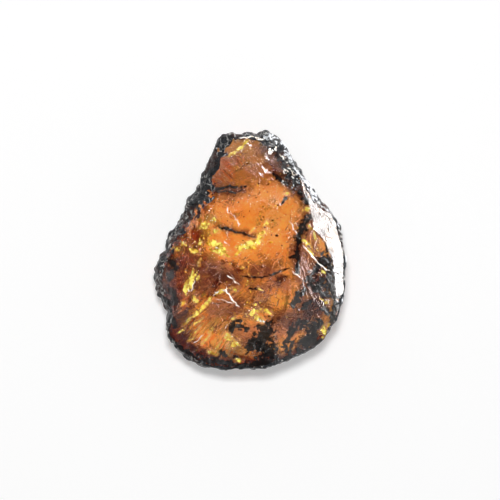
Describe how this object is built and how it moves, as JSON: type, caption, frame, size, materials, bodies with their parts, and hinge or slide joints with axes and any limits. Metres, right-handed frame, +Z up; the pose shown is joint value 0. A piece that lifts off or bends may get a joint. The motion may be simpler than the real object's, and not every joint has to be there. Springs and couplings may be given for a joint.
{
  "type": "raw amber piece",
  "caption": "Pear-shaped nugget of raw fossil resin with a broken clear window, a ground rim and a rough weathered rind; lies on its flat back.",
  "frame": {"origin": "on the plane it rests on, under the middle of its bounding box", "axes": "+Y from the wide end towards the narrow end, +Z up from the flat back towards the broken window, +X towards the ground rim"},
  "size_m": [0.0444, 0.0552, 0.0198],
  "materials": {
    "amber": "clear cognac amber, glossy on its broken faces, under a rough blue-black rind"
  },
  "bodies": {
    "root": {"raw_amber": "amber"}
  },
  "joints": []
}
